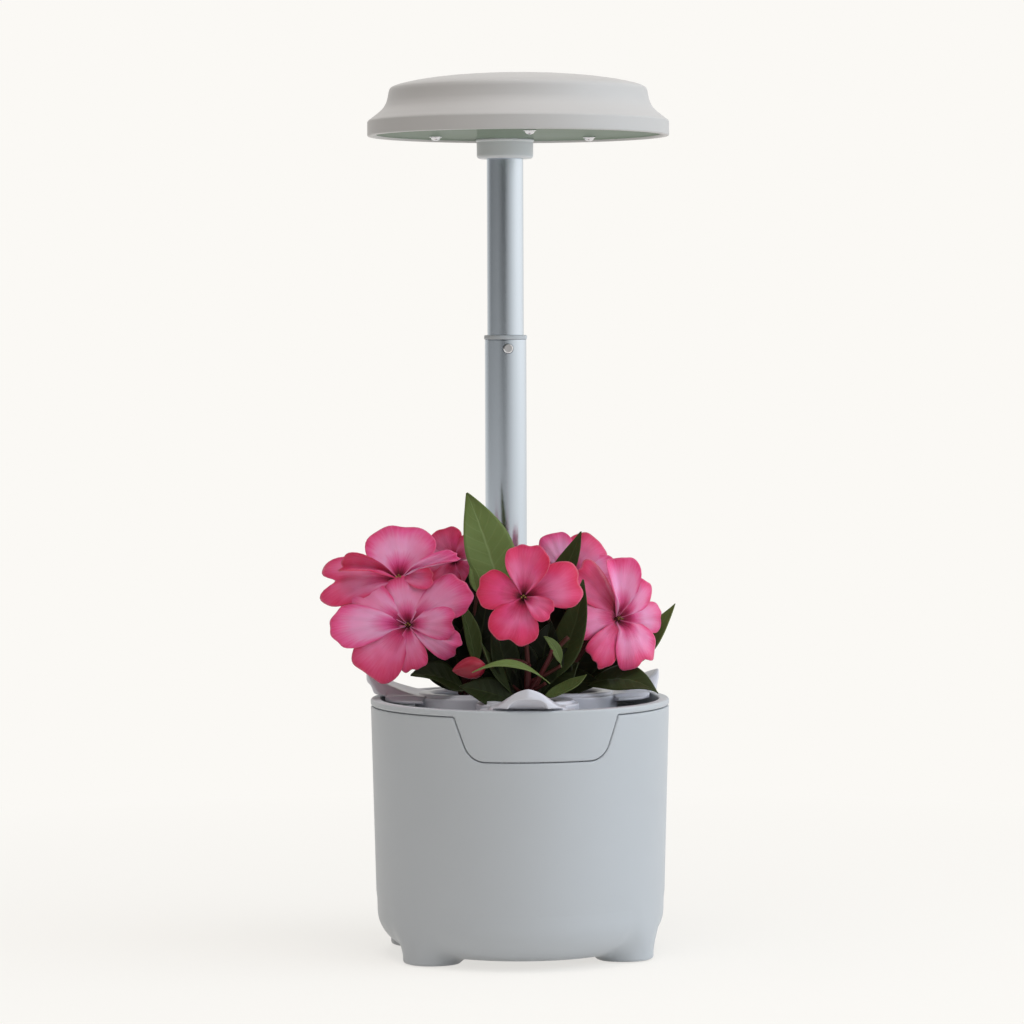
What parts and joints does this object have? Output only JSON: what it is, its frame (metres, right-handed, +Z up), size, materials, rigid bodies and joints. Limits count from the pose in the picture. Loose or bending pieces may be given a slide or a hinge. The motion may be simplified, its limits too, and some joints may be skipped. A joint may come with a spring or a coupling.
{
  "type": "countertop hydroponic garden",
  "caption": "Round water tank on moulded feet with a lift-off lid, lift-out plant pods with flowering plants, and a grow lamp on a telescopic pole.",
  "frame": {"origin": "on the table, under the tank's vertical axis", "axes": "+Z up, -Y towards the front apron, +Y towards the pole, +X to the right seen from the front"},
  "size_m": [0.19, 0.1661, 0.4709],
  "materials": {
    "shell": "fine satin moulded",
    "cap": "semi-gloss moulded",
    "inner_plastic": "satin moulded",
    "pads": "matt",
    "screws": "plain",
    "board": "coated board",
    "inlet": "moulded",
    "tube": "satin anodised",
    "chrome": "polished",
    "lead": "matt",
    "led_board": "white coated board",
    "led_chips": "phosphor",
    "lens": "clear polished acrylic",
    "sponge": "open foam",
    "leaf": "waxy leaf",
    "petal": "velvety petal"
  },
  "bodies": {
    "tank": {"tank": "shell", "foot_pads": "pads"},
    "lid": {"lid": "shell", "driver_cover": "inner_plastic", "cover_screws": "screws", "circuit_board": "board", "dc_inlet": "inlet", "lower_tube": "tube", "tube_bush": "shell"},
    "button": {"lock_button": "chrome"},
    "mast": {"upper_tube": "tube", "button_spring": "screws", "lamp_lead": "lead", "neck_collar": "shell", "lamp_housing": "shell", "led_board": "led_board", "led_chips": "led_chips", "lens": "lens", "lens_washers": "chrome", "lens_screws": "chrome"},
    "pod_front": {"cap_front": "cap", "net_cup_front": "inner_plastic", "sponge_front": "sponge", "leaves_front": "leaf", "blossoms_front": "petal"},
    "pod_right": {"cap_right": "cap", "net_cup_right": "inner_plastic", "sponge_right": "sponge", "leaves_right": "leaf", "blossoms_right": "petal"},
    "pod_left": {"cap_left": "cap", "net_cup_left": "inner_plastic", "sponge_left": "sponge", "leaves_left": "leaf", "blossoms_left": "petal"}
  },
  "joints": [
    {"name": "lid_lift", "type": "slide", "parent": "tank", "child": "lid", "axis": [0, 0, 1], "range_m": [0, 0.1]},
    {"name": "mast_slide", "type": "slide", "parent": "lid", "child": "mast", "axis": [0, 0, 1], "range_m": [-0.09, 0], "deforming": ["lamp_lead"]},
    {"name": "button_press", "type": "slide", "parent": "lid", "child": "button", "axis": [0, 1, 0], "range_m": [0, 0.0008], "stiffness_N_per_m": 800},
    {"name": "pod_front_lift", "type": "slide", "parent": "lid", "child": "pod_front", "axis": [0, 0, 1], "range_m": [0, 0.08]},
    {"name": "pod_right_lift", "type": "slide", "parent": "lid", "child": "pod_right", "axis": [0, 0, 1], "range_m": [0, 0.08]},
    {"name": "pod_left_lift", "type": "slide", "parent": "lid", "child": "pod_left", "axis": [0, 0, 1], "range_m": [0, 0.08]}
  ]
}
